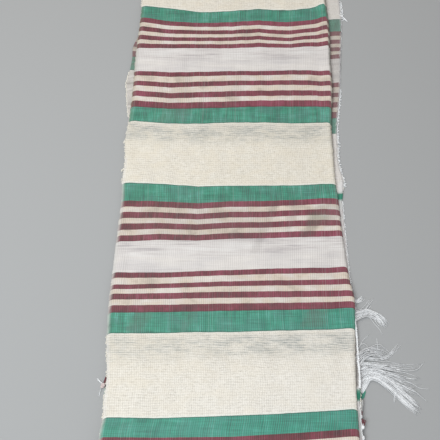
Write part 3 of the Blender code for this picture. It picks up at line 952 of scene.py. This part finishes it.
def make_cloth_material():
    material = bpy.data.materials.new("woven cloth")
    material.use_nodes = True
    shader = material.node_tree.nodes["Principled BSDF"]
    cloth = ClothNodes(material)
    colour = nubby_wool(cloth)
    masks = {}
    for kind, tint, silk in (
        ("green", GREEN, green_silk),
        ("maroon", MAROON, maroon_silk),
        ("cream", CREAM, cream_silk),
        ("white", WHITE, white_silk),
    ):
        stops = [(place, grey(float(shown is tint))) for place, shown in cloth.stops]
        masks[kind] = cloth.ramp(cloth.fraction, stops, constant=True)
        colour = cloth.mix(masks[kind], colour, silk(cloth))
    colour = edge_tints(cloth, woven_lines(cloth, colour, masks))
    roughness = cloth.scale(cloth.wool, 0, 1, 0.52, 0.95)
    sockets = {"Base Color": colour, "Roughness": roughness, "Normal": weave_relief(cloth)}
    for name, socket in sockets.items():
        material.node_tree.links.new(socket, shader.inputs[name])
    shader.inputs["Sheen Weight"].default_value = 0.04
    shader.inputs["Sheen Roughness"].default_value = 0.6
    shader.inputs["Specular IOR Level"].default_value = 0.28
    return material


def plain_material(name, colour, roughness, sheen=0.0):
    material = bpy.data.materials.new(name)
    material.use_nodes = True
    shader = material.node_tree.nodes["Principled BSDF"]
    shader.inputs["Base Color"].default_value = (*colour, 1.0)
    shader.inputs["Roughness"].default_value = roughness
    shader.inputs["Sheen Weight"].default_value = sheen
    return material


def curve_points(points, count):
    """Points on the smooth curve through a few points."""
    points = np.asarray(points, dtype=float)
    ends = np.concatenate([[2 * points[0] - points[1]], points, [2 * points[-1] - points[-2]]])
    place = np.linspace(0, len(points) - 1, count)
    index = np.minimum(place.astype(int), len(points) - 2)
    part = (place - index)[:, None]
    p0, p1, p2, p3 = (ends[index + i] for i in range(4))
    return 0.5 * (
        2 * p1
        + (p2 - p0) * part
        + (2 * p0 - 5 * p1 + 4 * p2 - p3) * part**2
        + (3 * p1 - p0 - 3 * p2 + p3) * part**3
    )


def tube(points, radii, sides, store):
    """A thin closed tube along points, added to store = [points, faces]."""
    points = np.asarray(points, dtype=float)
    run = np.gradient(points, axis=0)
    run /= np.maximum(np.linalg.norm(run, axis=1, keepdims=True), 1e-9)
    lift = np.where(np.abs(run[:, 2:3]) < 0.9, [[0.0, 0.0, 1.0]], [[1.0, 0.0, 0.0]])
    side = np.cross(run, lift)
    side /= np.linalg.norm(side, axis=1, keepdims=True)
    up = np.cross(side, run)
    turns = 2 * math.pi * np.arange(sides) / sides + math.pi / 2
    radii = np.broadcast_to(np.asarray(radii, dtype=float), (len(points),))[:, None, None]
    ring = points[:, None, :] + radii * (
        side[:, None, :] * np.cos(turns)[None, :, None] + up[:, None, :] * np.sin(turns)[None, :, None]
    )
    ring[:, :, 2] = np.maximum(ring[:, :, 2], LOWEST)
    base = sum(len(block) for block in store[0])
    store[0].append(ring.reshape(-1, 3))
    for step in range(len(points) - 1):
        for k in range(sides):
            a, b = base + step * sides + k, base + step * sides + (k + 1) % sides
            store[1].append((a, b, b + sides, a + sides))
    store[1].append(tuple(base + k for k in range(sides))[::-1])
    store[1].append(tuple(base + (len(points) - 1) * sides + k for k in range(sides)))


def stored_object(name, store, material):
    return new_object(name, np.concatenate(store[0]), store[1], material)


def gate_route(gates, share, chance, jitter):
    route = []
    for index, (x0, y0, x1, y1) in enumerate(gates):
        loose = jitter * index / (len(gates) - 1)
        route.append(
            [
                x0 + share * (x1 - x0) + chance.gauss(0, loose),
                y0 + share * (y1 - y0) + chance.gauss(0, loose),
            ]
        )
    return route


def strand(store, points, chance, arch, steps, thick, sway=(0.2, 1.1)):
    """One bare warp end through a few points, a little wavy, resting on the floor."""
    flat = curve_points(points, steps)
    travel = np.linspace(0, 1, steps)
    wave = chance.uniform(*sway) * np.sin(travel * chance.uniform(5, 13) + chance.uniform(0, 6))
    flat = flat + np.column_stack([0.4 * wave * travel, wave * travel])
    radius = chance.uniform(*thick) * (1 - 0.4 * smooth((travel - 0.75) / 0.25))
    rise = 0.5 * (1 - travel) + arch * chance.uniform(0.15, 1.0) * np.sin(math.pi * travel) ** 1.5
    tube(np.column_stack([flat, radius + rise]), radius, 3, store)


def strands(
    store, gates, count, seed, jitter, arch, steps=15,
    lengths=(0.82, 1.0), lean=1.0, thick=(0.34, 0.44), sway=(0.2, 1.1),
):
    """Bare warp ends side by side through a bundle's gates; lean above 1 crowds the near side."""
    chance = random.Random(seed)
    for number in range(count):
        share = ((number + chance.uniform(0.1, 0.9)) / count) ** lean
        route = curve_points(gate_route(gates, share, chance, jitter), 40)
        keep = route[: max(10, int(len(route) * chance.uniform(*lengths)))]
        points = keep[np.linspace(0, len(keep) - 1, 9).astype(int)]
        strand(store, points, chance, arch, steps, thick, sway)


def make_fringe(material, fibre):
    items = []
    for name, bundles, loose, strip in (
        ("fringe_large", LARGE_BUNDLES, LOOSE_LARGE, LARGE_STRIP),
        ("fringe_small", SMALL_BUNDLES, LOOSE_SMALL, SMALL_STRIP),
    ):
        store = [[], []]
        for gates, count, seed, jitter, arch, options in bundles:
            strands(store, gates, count, seed, jitter, arch, **options)
        chance = random.Random(len(loose))
        for route in loose:
            strand(store, route, chance, 2.0, 14, (0.38, 0.46))
        item = stored_object(name + "_ends", store, material)
        items.append((item, make_strip(name + "_edge", strip, fibre)))
    return items


def loops(store, places, chance, yarn, reach):
    """Turns of the weft round an edge: places are (x, y, z, side, size)."""
    for x, y, z, side, size in places:
        out = size * chance.uniform(*reach)
        half = chance.uniform(0.8, 1.5) * size
        turn = np.linspace(-0.5 * math.pi, 0.5 * math.pi, 6)
        lean = chance.uniform(-0.7, 0.7)
        points = np.column_stack(
            [
                x + side * (out * np.cos(turn) - 0.9),
                y + half * np.sin(turn) + lean * np.cos(turn),
                z + chance.uniform(-0.15, 0.3) * np.cos(turn),
            ]
        )
        tube(points, yarn * size * chance.uniform(0.8, 1.2), 4, store)


def edge_line(name, along, layer):
    """Place of a free edge of the sheet: x and the height of its middle."""
    along = np.asarray(along, dtype=float)
    raised = smooth((along - TURN_CENTRE) / RAISED_RUN)
    x = edge(name, along)
    height = THICKNESS / 2 + (LAYERS - 1 - layer) * PITCH
    if layer == 0:
        height = height + layer_lift(0, x, along, raised)
    return x, rest_height(along) + height


def make_loops(material, tuft_material):
    """Woollen weft turning round both free edges, lumps at the left fold, and tufts."""
    store = [[], []]
    chance = random.Random(21)
    even = np.arange(FAR_END - 4, HAIRPIN + 30, -2.6)
    for name, layer, side in (("top_left", 0, -1), ("under_right", 2, 1)):
        along = even + np.array([chance.uniform(-0.7, 0.7) for _ in even])
        x, z = edge_line(name, along, layer)
        bent = np.interp(along, OFFSET_PLACES, OFFSETS) if layer else LEFT_DROP
        place = along + (far_shift(along) if layer else 0)
        sizes = np.where(wool_share(pattern_place(x, place + bent)) > 0.5, 1.0, 0.42)
        spots = zip(x, place, z, sizes)
        places = [(a, b, c, side, size) for a, b, c, size in spots if layer or b <= FAR_END - 6]
        loops(store, places, chance, 0.55, (0.8, 2.5))
    lumps = np.arange(503, 430, -2.2)
    x = edge("left_fold", lumps)
    places = [(a, b, 1.3 + chance.uniform(0, 1.0), -1, 1.4) for a, b in zip(x, lumps)]
    loops(store, places, chance, 0.55, (0.6, 1.6))
    for x0, y0, x1, y1 in LEFT_TUFTS:
        for _ in range(5):
            sway = [chance.gauss(0, 0.5) for _ in range(4)]
            middle = ((x0 + x1) / 2 + sway[1], (y0 + y1) / 2 + sway[2], 5.0)
            points = [(x0, y0 + sway[0], 4.9), middle, (x1 + sway[1], y1 + 1.5 * sway[3], 3.8)]
            tube(curve_points(points, 8), 0.42, 4, store)
    item = stored_object("wool_loops", store, material)
    store = [[], []]
    for number in range(11):
        along = 634 - 3.1 * number + chance.uniform(-0.8, 0.8)
        x = edge("under_right", np.array([along]))[0]
        out = chance.uniform(2.8, 5.6)
        points = [(x - 5, along + 5, 1.2), (x + 0.5 * out, along + 1.5, 1.3)]
        points += [(x + out, along - 0.5, 1.0), (x + 0.6 * out, along - 2.2, 0.5)]
        points.append((x - 1, along - 2.6, 0.6))
        tube(curve_points(points, 12), 0.55, 4, store)
    for _ in range(5):
        points = [(a + chance.gauss(0, 0.5), b + chance.gauss(0, 0.5)) for a, b in FAR_TUFT]
        strand(store, points, chance, 1.2, 14, (0.5, 0.66))
    return item, stored_object("weft_tuft", store, tuft_material)


def edge_lumps(store, chance, along, size, yarn, reach, count, step, out, drop):
    """A few turns of yarn close together at the lowest layer's free edge."""
    x, z = edge_line("under_right", [along], 2)
    turns = range(-(count // 2), count // 2 + 1)
    spots = [(x[0] + out, along + step * turn, z[0] - drop, 1, size) for turn in turns]
    loops(store, spots, chance, yarn, reach)


def make_selvedge(material):
    """The two-ply line of the last warp ends along the lowest layer's free edge."""
    store = [[], []]
    chance = random.Random(77)
    (near_low, near_high), (far_low, far_high) = GREEN_CORNERS
    for start, end in ((668, far_high + 1), (far_low, near_high + 1), (near_low, HAIRPIN + 12)):
        along = np.arange(start, end, -1.5)
        x, z = edge_line("under_right", along, 2)
        place = along + far_shift(along)
        size = 0.36 + 0.58 * smooth((168 - along) / 30) * (along > near_high)
        for ply in (0, 1):
            turn = 2 * math.pi * along / 5.2 + math.pi * ply
            size = size * np.array([chance.uniform(0.76, 1.26) for _ in along])
            height = z + np.maximum(0, 2 * size - 0.55) + size * np.sin(turn)
            points = np.column_stack([x + 0.6 - size + size * np.cos(turn), place, height])
            tube(points, size, 5, store)
    for start, end, step, yarn, reach in EDGE_FUZZ:
        along = np.arange(start, end, -step)
        x, z = edge_line("under_right", along, 2)
        fold = edge("right_fold", along)
        spots = [(max(a, b) + 0.6, c, d, 1, 0.62) for a, b, c, d in zip(x, fold, along, z)]
        loops(store, spots, chance, yarn, reach)
    for along, size in EDGE_LUMPS:
        edge_lumps(store, chance, along, size, 0.6, (1.2, 2.4), 5, 0.7, 1.2, 1.0)
    return stored_object("selvedge_line", store, material)


def lower_end(x):
    along = np.array([TURN_CENTRE - (LOWER_END_RIGHT - TURN_CENTRE)])
    return LOWER_END_RIGHT + float(end_shift(np.array([x]), 0.0, along, np.array([math.pi]))[0])


def make_strip(name, strip, material):
    """The narrow strip of the cloth's cut end that holds the warp ends."""
    left, right, corner = strip
    points, faces = [], []
    count = 24
    for step in range(count + 1):
        x = left + (right - left) * step / count
        past = max(0.0, x - right + corner)
        near = lower_end(x) + 0.3 + corner - math.sqrt(max(0.0, corner**2 - past**2))
        far = 52 + 0.9 * past
        points += [(x, near, 0.05), (x, far, 0.05), (x, far, 0.9), (x, near, 1.1)]
    for step in range(count):
        for k in range(4):
            a, b = step * 4 + k, step * 4 + (k + 1) % 4
            faces.append((a, a + 4, b + 4, b))
    faces += [(0, 1, 2, 3), (4 * count + 3, 4 * count + 2, 4 * count + 1, 4 * count)]
    return new_object(name, points, faces, material, shade=False)


def make_knot(material, knotted, weft):
    """A flattened knot of warp ends with a few loose ones, and a bit of maroon weft beside it."""
    store = [[], []]
    chance = random.Random(9)
    cx, cy = KNOT_CENTRE
    for number in range(9):
        turn = np.linspace(0, 2 * math.pi * 1.4, 26) + chance.uniform(0, 6)
        wide, tall = chance.uniform(1.5, 2.7), chance.uniform(1.6, 3.0)
        points = np.column_stack(
            [
                cx - 0.3 + wide * np.cos(turn) * (1 + 0.1 * np.sin(3 * turn)),
                cy + tall * np.sin(turn + 0.4 * number),
                1.45 + 0.85 * np.sin(1.5 * turn + number),
            ]
        )
        tube(points, 0.5, 5, store)
    lump = len(store[1])
    ends = {"steps": 10, "thick": (0.28, 0.36), "sway": (0.1, 0.4)}
    strands(store, KNOT_UP_GATES, 5, 10, 0.5, 0.8, lengths=(0.85, 1.0), **ends)
    strands(store, KNOT_DOWN_GATES, 3, 11, 0.3, 0.8, lengths=(0.9, 1.0), **ends)
    knot = stored_object("fringe_knot_ends", store, material)
    knot.data.materials.append(knotted)
    for face in list(knot.data.polygons)[:lump]:
        face.material_index = 1
    store = [[], []]
    for number in range(9):
        y = 63.4 + 0.9 * number
        points = [(-133.4, y, 4.0), (-136.4, y + 0.3, 3.8), (-139.9 + 0.3 * number, y + 0.4, 2.6)]
        points.append((-137.0, y + 0.9, 1.4))
        tube(curve_points(points, 8), 0.5, 4, store)
    for along, size in EDGE_TUFTS:
        edge_lumps(store, chance, along, size, 0.3, (1.4, 4.2), 7, 0.6, 1.0, 0.6)
    return knot, stored_object("loose_weft", store, weft)


def make_stage():
    corners = ((-1, -1), (1, -1), (1, 1), (-1, 1))
    points = [(x * FLOOR_REACH, y * FLOOR_REACH, FLOOR_HEIGHT) for x, y in corners]
    grey_floor = plain_material("floor", grey(0.40), 0.9)
    new_object("floor", points, [(0, 1, 2, 3)], grey_floor, shade=False)
    world = bpy.data.worlds.new("studio")
    bpy.context.scene.world = world
    world.use_nodes = True
    world.node_tree.nodes["Background"].inputs[0].default_value = (0.97, 0.98, 1.0, 1.0)
    world.node_tree.nodes["Background"].inputs[1].default_value = SKY_STRENGTH
    for name, place, size, energy, colour in (
        ("near soft box", (-0.65, -0.45, 1.25), 1.0, 14, (0.90, 0.97, 1.0)),
        ("far soft box", (-0.55, 0.75, 1.5), 1.1, 7, (1.0, 0.93, 0.84)),
    ):
        lamp = bpy.data.lights.new(name, "AREA")
        lamp.size = size
        lamp.energy = energy
        lamp.color = colour
        light = bpy.data.objects.new(name, lamp)
        bpy.context.scene.collection.objects.link(light)
        light.location = place
        light.rotation_euler = (-light.location).to_track_quat("-Z", "Y").to_euler()
    camera = bpy.data.objects.new("camera", bpy.data.cameras.new("camera"))
    bpy.context.scene.collection.objects.link(camera)
    camera.data.lens = LENS
    camera.data.sensor_width = 36
    camera.location = to_row(np.array([0.0, CAMERA_FOOT, CAMERA_HEIGHT]))
    camera.rotation_euler = (math.radians(CAMERA_TILT), 0, 0)
    camera.data.clip_start = 0.01
    bpy.context.scene.camera = camera
    bpy.context.scene.view_settings.view_transform = "Standard"


cloth_look = make_cloth_material()
thread_look = plain_material("warp ends", (0.94, 0.94, 0.95), 0.45)
wool_look = plain_material("woollen weft", (0.84, 0.79, 0.70), 0.95)
green_look = plain_material("green weft", (0.06, 0.27, 0.19), 0.7)
maroon_look = plain_material("maroon weft", (0.17, 0.055, 0.065), 0.7)
knot_look = plain_material("knotted ends", (0.66, 0.55, 0.53), 0.7)

sheet = make_sheet(cloth_look)
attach(sheet, "root")
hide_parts("cloth")

fringe = make_fringe(thread_look, green_look)
for (ends, strip), node in zip(fringe, ("fringe_large", "fringe_small")):
    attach(ends, "root")
    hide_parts(node)
    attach(strip, "root")
knot, loose_weft = make_knot(thread_look, knot_look, maroon_look)
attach(knot, "root")
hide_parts("fringe_knot")

wool_loops, tuft = make_loops(wool_look, thread_look)
selvedge = make_selvedge(thread_look)
for piece in (wool_loops, tuft, selvedge, loose_weft):
    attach(piece, "root")

make_stage()
